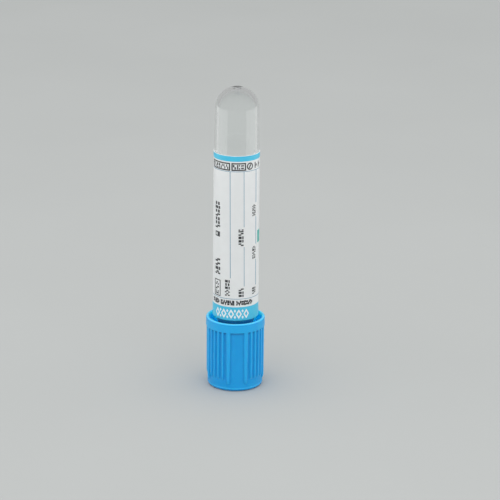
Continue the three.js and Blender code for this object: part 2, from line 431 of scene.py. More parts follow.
def relief(angles, heights):
    """How far, from 0 to 1, the ribs and the rim band stand out at each height and angle.

    Across a rib the height is a smooth step at either flank and a slight crown between them.
    Along it the height is a quarter of a circle, which starts later towards the flanks, so
    that the end is round: the delay is the half width less the root of what is left of its
    square when the offset's square is taken away. Ribs are narrower at their lower ends, by
    a share that shrinks to nothing at the band.
    """
    middles, widths, wide = rib_places()
    start = np.where(wide, WIDE_END_Z, RIB_END_Z)
    height = heights[:, None, None]
    offset = (angles[:, None] - middles + 180.0) % 360.0 - 180.0
    offset = np.abs(np.radians(offset) * CAP_RADIUS)
    climb = np.clip((height - start) / (BAND_LOW_Z - start), 0.0, 1.0)
    narrowing = np.where(wide, WIDE_NARROWING, SLIM_NARROWING) * (1 - climb)
    half = np.radians(widths) * CAP_RADIUS / 2 * (1 - narrowing)
    flank = smooth_step((half - offset) / RIB_EDGE + FLANK_SHIFT)
    crown = 1 - RIB_CROWN * np.clip(offset / half, 0.0, 1.0) ** 2
    delay = half - np.sqrt(np.clip(half**2 - offset**2, 0.0, None))
    rise = np.clip((height - start - END_ROUNDNESS * delay) / RIB_FADE, 0.0, 1.0)
    ribs = flank * crown * np.sqrt(1 - (1 - rise) ** 2)
    return np.maximum(ribs.max(axis=-1), rim_band(heights)[:, None])


# %% [markdown]
# Two kinds of painted light follow the relief, so they are worked out with it and kept as a number for
# each point of the mesh. What stands out is painted paler, a painted highlight where raised parts would
# catch more light, and one number holds it. Under the rim band and in the grooves, where light hardly
# reaches, the colour is painted deeper, a painted shade, and the other number holds that. Both could be
# noise, but then they would miss the edges that they belong to.

# %% Painted shade under the band and in the grooves
SHADE_ABOVE = (0.15, 0.3, 0.45, 0.6)
SHADE_BESIDE = (-8, -5, 5, 8)
SHADE_SHARE = 0.35


def shade_mask(heights, raised):
    """Painted shade, from 0 to 1, where the relief stands over a point and keeps light from it.

    It is the mean of the band a little above, times how low the point lies, plus a share of
    how much higher the relief is, on average, a few columns to either side.
    """
    above = np.mean([rim_band(heights + climb) for climb in SHADE_ABOVE], axis=0)
    beside = np.mean([np.roll(raised, turn, axis=1) for turn in SHADE_BESIDE], axis=0)
    total = above[:, None] * (1 - raised) + SHADE_SHARE * np.clip(beside - raised, 0.0, 1.0)
    return np.clip(total, 0.0, 1.0)


# %% [markdown]
# The grid's rows follow the section of the cap all the way round: out along the end face, up the
# ribbed side, over the lip, down the inside past the bead that keeps the stopper in, and back to
# the needle hole. Rows are close together where the relief changes fast, at the ribs' ends and
# at the band's edge, and far apart between.

# %% The side's rows
SIDE_ROWS = ((0.85, 1.8, 4), (1.95, 5.3, 28), (6.0, 16.4, 7), (16.8, 17.6, 15), (18.0, 19.2, 3))


def ribbed_side(angles):
    """Points of the side: a short cone, then a straight wall, with the relief added to both.

    Also returns the relief and the painted shade for it. Each stretch of rows is a lowest height, a
    highest height and a count.
    """
    heights = np.concatenate([np.linspace(*stretch) for stretch in SIDE_ROWS])
    wall = np.interp(heights, [FOOT_EDGE, RIB_END_Z], [END_RADIUS, GROOVE_RADIUS])
    raised = relief(angles, heights)
    points = around(angles[None, :], wall[:, None] + RIB_DEPTH * raised, heights[:, None])
    return points, raised, shade_mask(heights, raised)


def add_layer(made, name, values):
    """A number for each point of the mesh, which its material can read by the name."""
    layer = made.data.attributes.new(name, "FLOAT", "POINT")
    layer.data.foreach_set("value", values.astype(np.float32))


# %% The cap's section
def cap_section():
    """The section's two smooth parts as profiles: the end face, and the lip with the inside.

    The first ends just past the foot's rounded edge, and the second starts just below the
    lip's, so that both meet the side where it is still straight.
    """
    end_face = [
        (NEEDLE_HOLE, END_WALL, 0),
        (NEEDLE_HOLE, 0.0, HOLE_EDGE),
        (END_RADIUS, 0.0, FOOT_EDGE),
        (END_RADIUS + 0.005, FOOT_EDGE + 0.08, 0),
    ]
    bead_low, bead_top = BEAD_HEIGHTS
    inside = [
        (CAP_RADIUS, CAP_TOP_Z - LIP_EDGE - 0.05, 0),
        (CAP_RADIUS, CAP_TOP_Z, LIP_EDGE),
        (LIP_RADIUS, CAP_TOP_Z, LIP_INNER_EDGE),
        (SKIRT_RADIUS, CAP_TOP_Z - FUNNEL, 0.5),
        (SKIRT_RADIUS, MOUTH_Z + bead_top, 0.3),
        (BEAD_RADIUS, MOUTH_Z + bead_low, 0.2),
        (BEAD_RADIUS, MOUTH_Z + SEAT_STEP, 0.1),
        (SEAT_RADIUS, MOUTH_Z + SEAT_STEP, 0.1),
        (SEAT_RADIUS, END_WALL, 0.15),
        (NEEDLE_HOLE, END_WALL, 0),
    ]
    return rounded(end_face, steps=7), rounded(inside, step=4.0, steps=5)


print("rows of the end face and of the inside", [len(part) for part in cap_section()])

# %% The cap's mesh
CAP_SIDES = 720
# Shares of painted highlight: paler ribs and band, and a pale line along the foot's edge.
RIB_HIGHLIGHT = 0.3
FOOT_HIGHLIGHT = 0.45
FOOT_HIGHLIGHT_REACH = 0.25


def cap_surface():
    """The cap as one closed grid: its last row joins its first, and its last column its first.

    Faces inside the lip, above the end wall, get the second material. A painted highlight lies on the lip
    as a smooth step over its rounded edge, on the foot falling off either side of its edge, and in a share
    on the ribs and band.
    """
    angles = np.arange(CAP_SIDES) * 360.0 / CAP_SIDES
    below, above = (around(angles, part[:-1, :1], part[:-1, 1:]) for part in cap_section())
    side, raised, painted_shade = ribbed_side(angles)
    grid = np.concatenate([below, side, above])
    index = np.arange(grid.size // 3).reshape(grid.shape[:2])
    index = np.concatenate([index, index[:, :1]], axis=1)
    index = np.concatenate([index, index[:1]])
    points = grid.reshape(-1, 3)
    faces = quads(index)
    made = mesh_object("ribbed_cap", points, faces.tolist())
    middle = points[faces].mean(axis=1)
    hidden = (np.hypot(middle[:, 0], middle[:, 1]) < LIP_RADIUS) & (middle[:, 2] > END_WALL)
    made.data.polygons.foreach_set("material_index", hidden.astype(np.int32))
    height = points[:, 2]
    # Painted highlight along the lip's rounded edge and the foot's edge, and a share of it on the ribs and
    # band.
    lip = smooth_step((height - CAP_TOP_Z + LIP_EDGE) / LIP_EDGE)
    foot = FOOT_HIGHLIGHT * smooth_step(1 - np.abs(height - FOOT_EDGE) / FOOT_HIGHLIGHT_REACH)
    padding = ((len(below), len(above)), (0, 0))
    ribs = np.pad(RIB_HIGHLIGHT * raised, padding).ravel()
    # Numbers for the painted highlight and the painted shade at each point.
    add_layer(made, "painted_highlight", np.maximum.reduce([ribs, lip, foot]))
    add_layer(made, "painted_shade", np.pad(painted_shade, padding).ravel())
    print("inner faces", hidden.sum(), "sheltered at most", round(float(painted_shade.max()), 2))
    return made


ribbed_cap = cap_surface()
fit(ribbed_cap, "closure", "cap")

# %% [markdown]
# Polyethylene is satin rather than glossy, and a little light gets into it before it comes back out, which
# softens its shadows. A small amount of subsurface scattering gives that. The grain is fine and shallow,
# as a spark-eroded mould leaves it. Ribs, band, foot and lip are painted paler by their highlight number,
# as painted highlights, the lip most of all: the number's fourth power is near 0 except there. Under the
# band and in the grooves the colour is painted deeper by the shade number, as painted shade.
#
# The skirt's inner wall gets no lamp light from outside. Light soaks through the thin skirt, and blue gets
# through furthest, so the wall has a finish of its own, in which light scatters for many millimetres
# instead of a fraction of one. Its colour is a brighter, bluer copy of the cap's, a painted glow on top of
# that real light.

# %% The cap's plastic
LIP_HIGHLIGHT_POWER = 4.0
POLYETHYLENE_IOR = 1.46
CAP_BLUE = shown(1, 156, 226)
CAP_BLUE_WORN = shown(4, 162, 230)
# Painted highlight: paler blue on ribs, band and foot, and a still paler line on the lip.
CAP_BLUE_PAINTED_HIGHLIGHT = shown(44, 198, 255)
CAP_BLUE_LIP_HIGHLIGHT = shown(96, 212, 255)
# Painted shade: the deeper blue under the rim band and in the grooves.
CAP_BLUE_PAINTED_SHADE = shown(1, 122, 184)
# Painted glow: the inner wall's brighter, bluer copy of the cap's colour.
THIN_BLUE_PAINTED_GLOW = shown(4, 146, 255)
THIN_BLUE_PAINTED_GLOW_WORN = shown(10, 152, 255)


def scattering(shader, weight, colours, scale):
    """Lets light into a surface, as far as the scale in millimetres times each colour's share."""
    shader.inputs["Subsurface Weight"].default_value = weight
    shader.inputs["Subsurface Radius"].default_value = colours
    shader.inputs["Subsurface Scale"].default_value = scale * MM


def layer(tree, name):
    """The socket of one of the mesh's numbers."""
    node = tree.nodes.new("ShaderNodeAttribute")
    node.attribute_name = name
    return node.outputs["Fac"]


def blue_plastic(name, colours, weight, shares, scale):
    """Satin blue plastic, with painted shade where the relief keeps light off, and a painted highlight
    where it stands out.
    """
    material, tree, shader = finish(name, colours, gloss=(0.34, 0.46), depth=0.012)
    painted_highlight = layer(tree, "painted_highlight")
    even = shader.inputs["Base Color"].links[0].from_socket
    # Painted shade: a deeper blue where the relief keeps light off.
    shaded = mixed(tree, layer(tree, "painted_shade"), even, CAP_BLUE_PAINTED_SHADE)
    # Painted highlight: paler where the relief stands out, palest on the lip.
    highlighted = mixed(tree, painted_highlight, shaded, CAP_BLUE_PAINTED_HIGHLIGHT)
    most = calculation(tree, "POWER", painted_highlight, LIP_HIGHLIGHT_POWER)
    tree.links.new(mixed(tree, most, highlighted, CAP_BLUE_LIP_HIGHLIGHT), shader.inputs["Base Color"])
    scattering(shader, weight, shares, scale)
    shader.inputs["IOR"].default_value = POLYETHYLENE_IOR
    return material


for name, colours, weight, shares, scale in (
    ("light_blue_polyethylene", (CAP_BLUE, CAP_BLUE_WORN), 0.3, (0.1, 0.6, 1.0), 0.3),
    ("thin_blue_polyethylene_painted_glow", (THIN_BLUE_PAINTED_GLOW, THIN_BLUE_PAINTED_GLOW_WORN), 1.0, (0.1, 0.3, 1.0), 20.0),
):
    ribbed_cap.data.materials.append(blue_plastic(name, colours, weight, shares, scale))
print("cap's finishes", [material.name for material in ribbed_cap.data.materials])

# %% [markdown]
# ## The clear tube
#
# The tube is one moulding with a wall of about a millimetre. The mould's gate sat in the middle
# of the round end. It left a small raised land there, with a shallow dimple in it and the
# cut-off stub in the dimple. The dome is set a little low, so that the land's rim is the highest
# point. What makes the tube look real is that it has both an outside and an inside surface, so
# that light bends at each. A single skin would look like a soap bubble, and a solid rod like a
# lens. So its profile starts at the axis on the inside and ends at the axis on the outside.

# %% The tube's mesh
GATE_LAND = 1.45
GATE_DIMPLE = 1.05
GATE_SLOPE = 0.3
GATE_DEPTH = 0.05
GATE_STUB = 0.45
GATE_STUB_HEIGHT = 0.04
GATE_DROP = 0.05
DOME_Z = TOP_Z - GATE_DROP - np.sqrt(DOME_RADIUS**2 - GATE_LAND**2)


def tube_corners():
    """The tube's section: down the inside, round the mouth, up the outside, and the gate.

    The dome is a half circle, and the land starts where the circle's radius from the axis is
    the land's own, at the angle whose cosine is one radius over the other.
    """
    land_angle = np.degrees(np.arccos(GATE_LAND / DOME_RADIUS))
    floor_z = TOP_Z - GATE_DEPTH
    walls = [
        (WAIST_RADIUS - TUBE_WALL, LABEL_TOP_Z, 0),
        (TUBE_RADIUS - TUBE_WALL, MOUTH_Z, 0.25),
        (TUBE_RADIUS, MOUTH_Z, 0.3),
        (WAIST_RADIUS, LABEL_TOP_Z, 0),
    ]
    gate = [
        (GATE_DIMPLE, TOP_Z, GATE_SLOPE),
        (GATE_DIMPLE - GATE_SLOPE, floor_z, 0.1),
        (GATE_STUB, floor_z, 0.03),
        (GATE_STUB, floor_z + GATE_STUB_HEIGHT, 0.03),
        (0.0, floor_z + GATE_STUB_HEIGHT, 0),
    ]
    inner = arc(DOME_RADIUS - TUBE_WALL, DOME_Z, 90, 0, steps=40)
    outer = arc(DOME_RADIUS, DOME_Z, 0, land_angle, steps=36)
    return inner + walls + outer + gate


clear_tube = revolved("clear_tube", rounded(tube_corners(), step=4.0))
fit(clear_tube, "tube_body", "tube")
print(f"dome's centre at {DOME_Z:.2f}, of radius {DOME_RADIUS:.2f}")

# %% [markdown]
# Clear plastic is a Principled shader with full transmission. Real lamps shine through it, but a
# path tracer finds that hard, and the shadow would be almost black. So shadow rays meet a plain
# transparent surface instead. Everything else sees real refraction.

# %% The clear plastic
CLEAR = (0.985, 0.995, 0.992, 1.0)
CLEAR_THICK = (0.975, 0.988, 0.985, 1.0)
LAMP_TINT = (0.98, 0.99, 0.99, 1.0)
POLYESTER_IOR = 1.57


def let_lamps_through(tree, shader, tint):
    """Puts a transparent shader in place of the clear one for shadow rays only."""
    path = tree.nodes.new("ShaderNodeLightPath")
    plain = tree.nodes.new("ShaderNodeBsdfTransparent")
    plain.inputs["Color"].default_value = tint
    mix = tree.nodes.new("ShaderNodeMixShader")
    tree.links.new(path.outputs["Is Shadow Ray"], mix.inputs["Fac"])
    tree.links.new(shader.outputs["BSDF"], mix.inputs[1])
    tree.links.new(plain.outputs["BSDF"], mix.inputs[2])
    tree.links.new(mix.outputs["Shader"], tree.nodes["Material Output"].inputs["Surface"])


def clear_finish(name, colours, ior, tint, **surface):
    """A finish that light goes right through, bent as the index of refraction says."""
    material, tree, shader = finish(name, colours, **surface)
    shader.inputs["Transmission Weight"].default_value = 1.0
    shader.inputs["IOR"].default_value = ior
    let_lamps_through(tree, shader, tint)
    return material


clear_plastic = clear_finish(
    "clear_polyester",
    (CLEAR, CLEAR_THICK),
    POLYESTER_IOR,
    LAMP_TINT,
    gloss=(0.02, 0.06),
    depth=0.0015,
    drift=250.0,
    grain=900.0,
)
clear_tube.data.materials.append(clear_plastic)
print(clear_plastic.name, "bends light by", POLYESTER_IOR)

# %% [markdown]
# ## The stopper and the additive
#
# The stopper is moulded in one, with a head that fills the cap's seat and a plug that seals in
# the bore with three rings. A well in the head guides the needle, the septum in the middle is
# what it pierces, and a cup in the plug's tip holds the additive. All of that is inside the cap,
# and it shows in the hole underneath and when the tube is pulled off.

# %% The stopper's mesh
PLUG_RINGS = 3
RING_HEIGHT = 1.5
RING_DEPTH = 0.35
WELL_RADIUS = 3.2
SEPTUM_LOW_Z = HEAD_LOW_Z + 6.1
CUP_RADIUS = POOL_RADIUS + 0.03
PLUG_PLAY = 0.05


def plug_side():
    """Corners of the plug's side: full rings, with narrower necks below and between them.

    The rings' radius is the bore's at the plug's tip, where the taper has made it smallest,
    less a little play.
    """
    share = (PLUG_TOP_Z - MOUTH_Z) / (LABEL_TOP_Z - MOUTH_Z)
    ring = TUBE_RADIUS - LABEL_TAPER * share - TUBE_WALL - PLUG_PLAY
    neck = ring - RING_DEPTH
    pitch = (PLUG_TOP_Z - MOUTH_Z) / PLUG_RINGS
    corners = [(neck, MOUTH_Z, 0.12)]
    for step in range(1, PLUG_RINGS + 1):
        top = MOUTH_Z + pitch * step
        low = top - RING_HEIGHT
        corners += [(neck, low - RING_DEPTH, 0.15), (ring, low, 0.25)]
        if step < PLUG_RINGS:
            corners += [(ring, top - RING_DEPTH, 0.25), (neck, top, 0.15)]
    return corners + [(ring, PLUG_TOP_Z, 0.5)]


head_and_well = [
    (0.0, SEPTUM_LOW_Z, 0),
    (WELL_RADIUS, SEPTUM_LOW_Z, 0.5),
    (WELL_RADIUS, HEAD_LOW_Z, 0.25),
    (HEAD_RADIUS, HEAD_LOW_Z, 0.3),
    (HEAD_RADIUS, MOUTH_Z, 0.15),
]
cup = [
    (CUP_RADIUS, PLUG_TOP_Z, 0.25),
    (CUP_RADIUS, POOL_LOW_Z, 0.02),
    (0.0, POOL_LOW_Z, 0),
]
rubber_stopper = revolved("rubber_stopper", rounded(head_and_well + plug_side() + cup))
fit(rubber_stopper, "closure", "stopper")

# %% [markdown]
# Rubber is matt, with a little bloom on it: a pale dust that lies unevenly, so its two blues are
# further apart than the cap's. The pool is clear and watery, and its surface climbs a
# little at the wall of the cup, as water does.

# %% The rubber
RUBBER_BLUE = shown(2, 120, 216)
RUBBER_BLOOM = shown(24, 134, 222)
rubber, _, _ = finish("blue_butyl_rubber", (RUBBER_BLUE, RUBBER_BLOOM), gloss=(0.55, 0.8), depth=0.02)
rubber_stopper.data.materials.append(rubber)
print("rubber's blue", [round(value, 3) for value in RUBBER_BLUE])

# %% The solution
WATERY = (0.975, 0.985, 0.99, 1.0)
WATER_IOR = 1.34


def pool_profile(dip=0.45, spread=9.0):
    """The pool's outline. Its surface falls away from the wall by one less a decaying power.

    The power's base is e, and its exponent is less the spread times the share of the way in.
    """
    share = np.linspace(0.0, 1.0, 16)
    fall = dip * (1 - np.exp(-spread * share))
    surface = np.stack([POOL_RADIUS * (1 - share), POOL_TOP_Z - fall], axis=1)
    side = [(0.0, POOL_LOW_Z, 0), (POOL_RADIUS, POOL_LOW_Z, 0.05), (POOL_RADIUS, POOL_TOP_Z, 0)]
    return np.concatenate([rounded(side), surface[1:]])


citrate_pool = revolved("citrate_pool", pool_profile(), sides=128)
fit(citrate_pool, "closure", "citrate_additive")
solution = clear_finish(
    "citrate_solution", (WATERY, CLEAR), WATER_IOR, WATERY, gloss=(0.0, 0.01), depth=0.0
)
citrate_pool.data.materials.append(solution)

# %% [markdown]
# ## The label
#
# The label is a film about a tenth of a millimetre thick. It goes a good half of the way round
# and leaves the back of the tube clear. Its print could all be one image, but an image is only
# as sharp as it is large. So the print is of two kinds. Bands and ruled lines are long and
# simple: they are fields of colour that the material works out from the label's own coordinates.
# Small dark print is crisp and irregular: it is made of thin slabs of ink.
#
# Label coordinates are millimetres: across from the middle of the front, and up from the table.
# The film's UV map holds them as shares of the label's width and height. The glue fills the gap
# under the film, so its underside lies a hundredth of a millimetre inside the plastic, and light
# that comes through the tube's wall meets the film with no air between.

# %% Label coordinates
LABEL_TURN = 115.0
LABEL_CORNER = 1.2
GLUE_SINK = -0.01
FILM_FACE = 0.13
LABEL_SCALE = TUBE_RADIUS + FILM_FACE
LABEL_HALF = np.radians(LABEL_TURN) * LABEL_SCALE
LABEL_HIGH = LABEL_TOP_Z - LABEL_LOW_Z


def on_label(across, height, lift):
    """Points from millimetres across and up, lifted off the tube's gently tapering side."""
    taper = LABEL_TAPER * (height - MOUTH_Z) / (LABEL_TOP_Z - MOUTH_Z)
    return around(np.degrees(across / LABEL_SCALE), TUBE_RADIUS - taper + lift, height)


def slab(across, height, low, high, looped=False):
    """A closed slab between two lifts over a grid of label points: face, underside and rim.

    The rim goes once round the grid. A looped grid joins its last column to its first, and has
    one rim along its first row and one along its last. Returns the points and the faces.
    """
    face = on_label(across, height, high).reshape(-1, 3)
    under = on_label(across, height, low).reshape(-1, 3)
    count = across.size
    index = np.arange(count).reshape(across.shape)
    if looped:
        index = np.concatenate([index, index[:, :1]], axis=1)
        rims = [index[0], index[-1, ::-1]]
    else:
        rims = [np.concatenate([index[0], index[1:, -1], index[-1, -2::-1], index[-2::-1, 0]])]
    faces = [quads(index), quads(index)[:, ::-1] + count]
    for rim in rims:
        faces.append(np.stack([rim[1:], rim[:-1], rim[:-1] + count, rim[1:] + count], axis=-1))
    return np.concatenate([face, under]), np.concatenate(faces)


print(f"label {2 * LABEL_HALF:.2f} wide laid flat, {LABEL_HIGH:.2f} high")

# %% The label's film
CORNER_ROWS = 14
MIDDLE_ROWS = 24
FILM_COLUMNS = 181


def film():
    """The film, with rounded corners. Its first material is on its face and the next elsewhere.

    Near a corner the half width is less by the rounding, plus the root of the rounding's square
    less the square of the depth into the corner.
    """
    ends = np.linspace(0.0, 1.5 * LABEL_CORNER, CORNER_ROWS) / LABEL_HIGH
    shares = np.concatenate([ends, np.linspace(0.05, 0.95, MIDDLE_ROWS), 1 - ends[::-1]])
    height = LABEL_LOW_Z + LABEL_HIGH * shares[:, None]
    inset = np.minimum(height - LABEL_LOW_Z, LABEL_TOP_Z - height)
    depth = np.clip(LABEL_CORNER - inset, 0.0, LABEL_CORNER)
    half = LABEL_HALF - LABEL_CORNER + np.sqrt(LABEL_CORNER**2 - depth**2)
    across = np.linspace(-1.0, 1.0, FILM_COLUMNS)[None, :] * half
    height = np.broadcast_to(height, across.shape)
    points, faces = slab(across, height, GLUE_SINK, FILM_FACE)
    made = mesh_object("printed_label", points, faces.tolist())
    corners = np.empty(len(made.data.loops), dtype=np.int32)
    made.data.loops.foreach_get("vertex_index", corners)
    flat = [across / LABEL_HALF / 2 + 0.5, (height - LABEL_LOW_Z) / LABEL_HIGH]
    flat = np.tile(np.stack(flat, axis=-1).reshape(-1, 2), (2, 1))[corners]
    uv_map = made.data.uv_layers.new(name="label")
    uv_map.data.foreach_set("uv", flat.ravel().astype(np.float32))
    printed = (across.shape[0] - 1) * (across.shape[1] - 1)
    number = np.arange(len(faces))
    made.data.polygons.foreach_set("material_index", (number >= printed).astype(np.int32))
    made.data.polygons.foreach_set("use_smooth", number < 2 * printed)
    return made


printed_label = film()
fit(printed_label, "tube_body", "label")

# %% [markdown]
# The printed colours are laid over white one after another. Each field is a mask made with
# arithmetic on the label's coordinates: 1 inside, 0 outside, with an edge a few hundredths of a
# millimetre wide, as ink has. A small node group holds that arithmetic, so that a band and a
# line are both one node with a middle and a width.


# %% Masks for bands and lines
INK_EDGE = 0.04


def build_stripe():
    """A mask from a place, a middle and a width.

    Half the width less the distance from the middle is divided by the edge's own width, and a
    half is added, so that the mask falls from 1 to 0 across the edge.
    """
    inputs = {"Place": 0.0, "Middle": 0.0, "Width": 1.0, "Edge": INK_EDGE}
    group, given, out = node_group("printed_stripe", inputs, ("Mask",))
    offset = calculation(group, "SUBTRACT", given["Place"], given["Middle"])
    distance = calculation(group, "ABSOLUTE", offset)
    half = calculation(group, "MULTIPLY", given["Width"], 0.5)
    inside = calculation(group, "SUBTRACT", half, distance)
    soft = calculation(group, "DIVIDE", inside, given["Edge"])
    group.links.new(calculation(group, "ADD", soft, 0.5, clamp=True), out["Mask"])
    return group


STRIPE = build_stripe()
print("stripe mask", len(STRIPE.nodes), "nodes")

# %% [markdown]
# The label's layout, from the cap upwards: a light-blue band with a plain white ornament, a row
# of small print, a thin ruled line, three ruled columns to write in, another thin line, a row of
# small framed marks, and a narrow light-blue band with a white edge. At the right a short teal
# mark shows how far to fill the tube. The ruled columns lean a very little, because the print is
# not quite square to the film. A rule stops short of each name that stands in its way.
#
# A pair of numbers is a lowest and a highest height. A field name is the number of the rule that
# it stands beside, its lowest height, its length, and how many marks it has.

# %% Layout of the print
BAND_TOP_Z = 24.25
HEAD_BAND = (65.45, 66.9)
FIELDS = (26.6, 62.65)
FIELDS_MIDDLE = sum(FIELDS) / 2
RULES_AT = (-1.57, 2.28, 6.48)
RULE_WIDTHS = (0.16, 0.14, 0.25)
FIELD_NAMES = (
    (0, 27.45, 4.75, 5),
    (1, 27.2, 2.6, 3),
    (1, 41.8, 4.9, 5),
    (2, 27.5, 2.0, 3),
    (2, 37.6, 3.7, 5),
    (2, 49.8, 3.25, 5),
)
NAME_CLEAR = 0.35
CROSS_RULE = 0.13
PRINT_LEAN = 0.01
FILL_ACROSS = (7.35, 11.2)
FILL_HEIGHTS = (41.7, 45.2)
print("ruled columns", len(RULES_AT), "field names", len(FIELD_NAMES))

# %% Colours of the print
PALE_BLUE = shown(74, 197, 238)
RULE_BLUE = shown(84, 140, 172)
TEAL = shown(36, 180, 170)
FILM_WHITE = shown(241, 244, 245)
FILM_WHITE_WORN = shown(238, 241, 242)
FILM_UNDERSIDE = shown(228, 231, 232)
print("pale blue", [round(value, 3) for value in PALE_BLUE])


# %% Fields of colour
def leaning(tree, up, straight):
    """The place across the label, straightened so that a leaning line has one value.

    The height over the middle of the fields, times the lean, is added to the place.
    """
    rise = calculation(tree, "SUBTRACT", up, FIELDS_MIDDLE)
    return calculation(tree, "ADD", straight, calculation(tree, "MULTIPLY", rise, PRINT_LEAN))


def stripe(tree, place, low, high):
    """The mask of a band or line between two places."""
    node = tree.nodes.new("ShaderNodeGroup")
    node.node_tree = STRIPE
    tree.links.new(place, node.inputs["Place"])
    node.inputs["Middle"].default_value = (low + high) / 2
    node.inputs["Width"].default_value = high - low
    return node.outputs["Mask"]


def label_places(tree):
    """The sockets of the place across, straightened, and of the height up, in millimetres."""
    uv_map = tree.nodes.new("ShaderNodeUVMap")
    uv_map.uv_map = "label"
    split = tree.nodes.new("ShaderNodeSeparateXYZ")
    tree.links.new(uv_map.outputs["UV"], split.inputs["Vector"])
    up = calculation(tree, "MULTIPLY_ADD", split.outputs["Y"], LABEL_HIGH)
    up.node.inputs[2].default_value = LABEL_LOW_Z
    straight = calculation(tree, "MULTIPLY_ADD", split.outputs["X"], 2 * LABEL_HALF)
    straight.node.inputs[2].default_value = -LABEL_HALF
    return leaning(tree, up, straight), up


def rule_lines(tree, across, up):
    """The masks of all ruled lines: the two across, and each column between its names.

    A column's piece starts above a name and ends below the next, or at the top of the fields.
    """
    lines = [stripe(tree, up, at - CROSS_RULE / 2, at + CROSS_RULE / 2) for at in FIELDS]
    for rule, (at, width) in enumerate(zip(RULES_AT, RULE_WIDTHS)):
        column = stripe(tree, across, at - width / 2, at + width / 2)
        names = [(low, low + length) for place, low, length, _ in FIELD_NAMES if place == rule]
        starts = [top + NAME_CLEAR for _, top in names]
        ends = [low - NAME_CLEAR for low, _ in names[1:]] + [FIELDS[1]]
        for low, high in zip(starts, ends):
            lines.append(calculation(tree, "MULTIPLY", column, stripe(tree, up, low, high)))
    return lines


def printed_fields(tree, ground):
    """Lays the printed fields over a ground colour and returns the socket of the result."""
    across, up = label_places(tree)
    colour = mixed(tree, stripe(tree, up, 0.0, BAND_TOP_Z), ground, PALE_BLUE)
    colour = mixed(tree, stripe(tree, up, *HEAD_BAND), colour, PALE_BLUE)
    for line in rule_lines(tree, across, up):
        colour = mixed(tree, line, colour, RULE_BLUE)
    sides = stripe(tree, across, *FILL_ACROSS)
    mark = calculation(tree, "MULTIPLY", sides, stripe(tree, up, *FILL_HEIGHTS))
    return mixed(tree, mark, colour, TEAL)


# %% [markdown]
# The film itself is white, satin and thin enough for light to soak through, so what stands
# behind it hardly shades it. Its face and its underside differ: the print is on the face, and
# the underside is a little greyer and duller with glue, as the clear back of the tube shows.

# %% The printed film's material
FILM_GRAIN = 2500.0
film_print, film_tree, film_shader = finish(
    "printed_film", (FILM_WHITE, FILM_WHITE_WORN), gloss=(0.32, 0.42), depth=0.006, grain=FILM_GRAIN
)
film_ground = film_shader.inputs["Base Color"].links[0].from_socket
film_tree.links.new(printed_fields(film_tree, film_ground), film_shader.inputs["Base Color"])
film_back, _, back_shader = finish(
    "film_underside",
    (FILM_UNDERSIDE, FILM_WHITE_WORN),
    gloss=(0.5, 0.6),
    depth=0.004,
    grain=FILM_GRAIN,
)
for material, shader in ((film_print, film_shader), (film_back, back_shader)):
    scattering(shader, weight=0.8, colours=(1.0, 1.0, 1.0), scale=0.4)
    printed_label.data.materials.append(material)
print("printed film", len(film_tree.nodes), "nodes")

# %% [markdown]
# ## The small print
#
# The words on such a label are left out. In their place stand plain marks: each is a few bars or
# squares in the cell that a letter would fill, so that a line of them has the weight and rhythm
# of print and says nothing. Text objects could make real letters, but a bar needs only a few
# faces. A stroke is a thin slab of ink that follows the label's curve, and all the ink of one
# colour is one mesh.

# %% Outlines that run clockwise
BOX_STEPS = 30
DIAMOND_STEPS = 4
CIRCLE_STEP = 10


def outline(corners, steps):
    """Points along the straight sides of a closed outline, with the same number on each side.

    Each point is a corner plus a share of the way to the next.
    """
    corners = np.array(corners, dtype=float)
    ahead = np.roll(corners, -1, axis=0)
    share = np.arange(steps)[:, None] / steps
    return (corners[:, None] + share * (ahead - corners)[:, None]).reshape(-1, 2)


BOX = outline(((-1, -1), (-1, 1), (1, 1), (1, -1)), BOX_STEPS)
DIAMOND = outline(((1, 0), (0, -1), (-1, 0), (0, 1)), DIAMOND_STEPS)
TURN = np.radians(np.arange(0, -360, -CIRCLE_STEP))
CIRCLE = np.stack([np.cos(TURN), np.sin(TURN)], axis=1)
print("points round a box, a diamond and a circle", len(BOX), len(DIAMOND), len(CIRCLE))

# %% Strokes of ink
INK_SINK = 0.01
INK_RISE = 0.011
INK_COLUMN = 0.25


class Ink:
    """Gathers slabs of ink, and makes one mesh of them."""

    def __init__(self):
        self.points = []
        self.faces = []
        self.count = 0

    def add(self, across, height, looped=False):
        """Adds a slab over a grid of label points, leaning as the print does.

        It reaches a hundredth of a millimetre into the film and stands as much over it.
        """
        lean = PRINT_LEAN * (height - FIELDS_MIDDLE)
        lifts = (FILM_FACE - INK_SINK, FILM_FACE + INK_RISE)
        points, faces = slab(across - lean, height, *lifts, looped)
        self.points.append(points)
        self.faces.append(faces + self.count)
        self.count += len(points)

    def block(self, left, right, low, high, shift=0.0):
        """A filled box, in columns narrow enough to follow the curve. Its top may be shifted."""
        columns = int(np.ceil((right - left) / INK_COLUMN)) + 1
        across, height = np.meshgrid(np.linspace(left, right, columns), np.array([low, high]))
        across[1] += shift
        self.add(across, height)

    def strip(self, shape, middle, inner, outer):
        """A closed strip between two sizes of an outline, each half as wide and high as it is."""
        points = np.array(middle) + np.array([inner, outer])[:, None] * shape
        self.add(points[..., 0], points[..., 1], looped=True)

    def frame(self, left, right, low, high, line):
        """The line round a box, drawn inside its edge."""
        half = np.array([right - left, high - low]) / 2
        self.strip(BOX, ((left + right) / 2, (low + high) / 2), half - line, half)

    def mesh(self, name):
        """One object with all of the ink, riding on the tube."""
        points = np.concatenate(self.points)
        made = mesh_object(name, points, np.concatenate(self.faces).tolist(), smooth=False)
        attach(made, "tube_body")
        return made


# %% [markdown]
# A mark is one of six patterns in a cell that is 1 wide and 1 high, none of which is a letter:
# two squares on a slant, either way, two level bars, an upright beside two squares, three
# squares, and a solid square over a bar. The next pattern comes from a seeded generator, so the
# print is the same every time. A line of marks runs across the label or up it: for the second
# the cell's two directions change places.

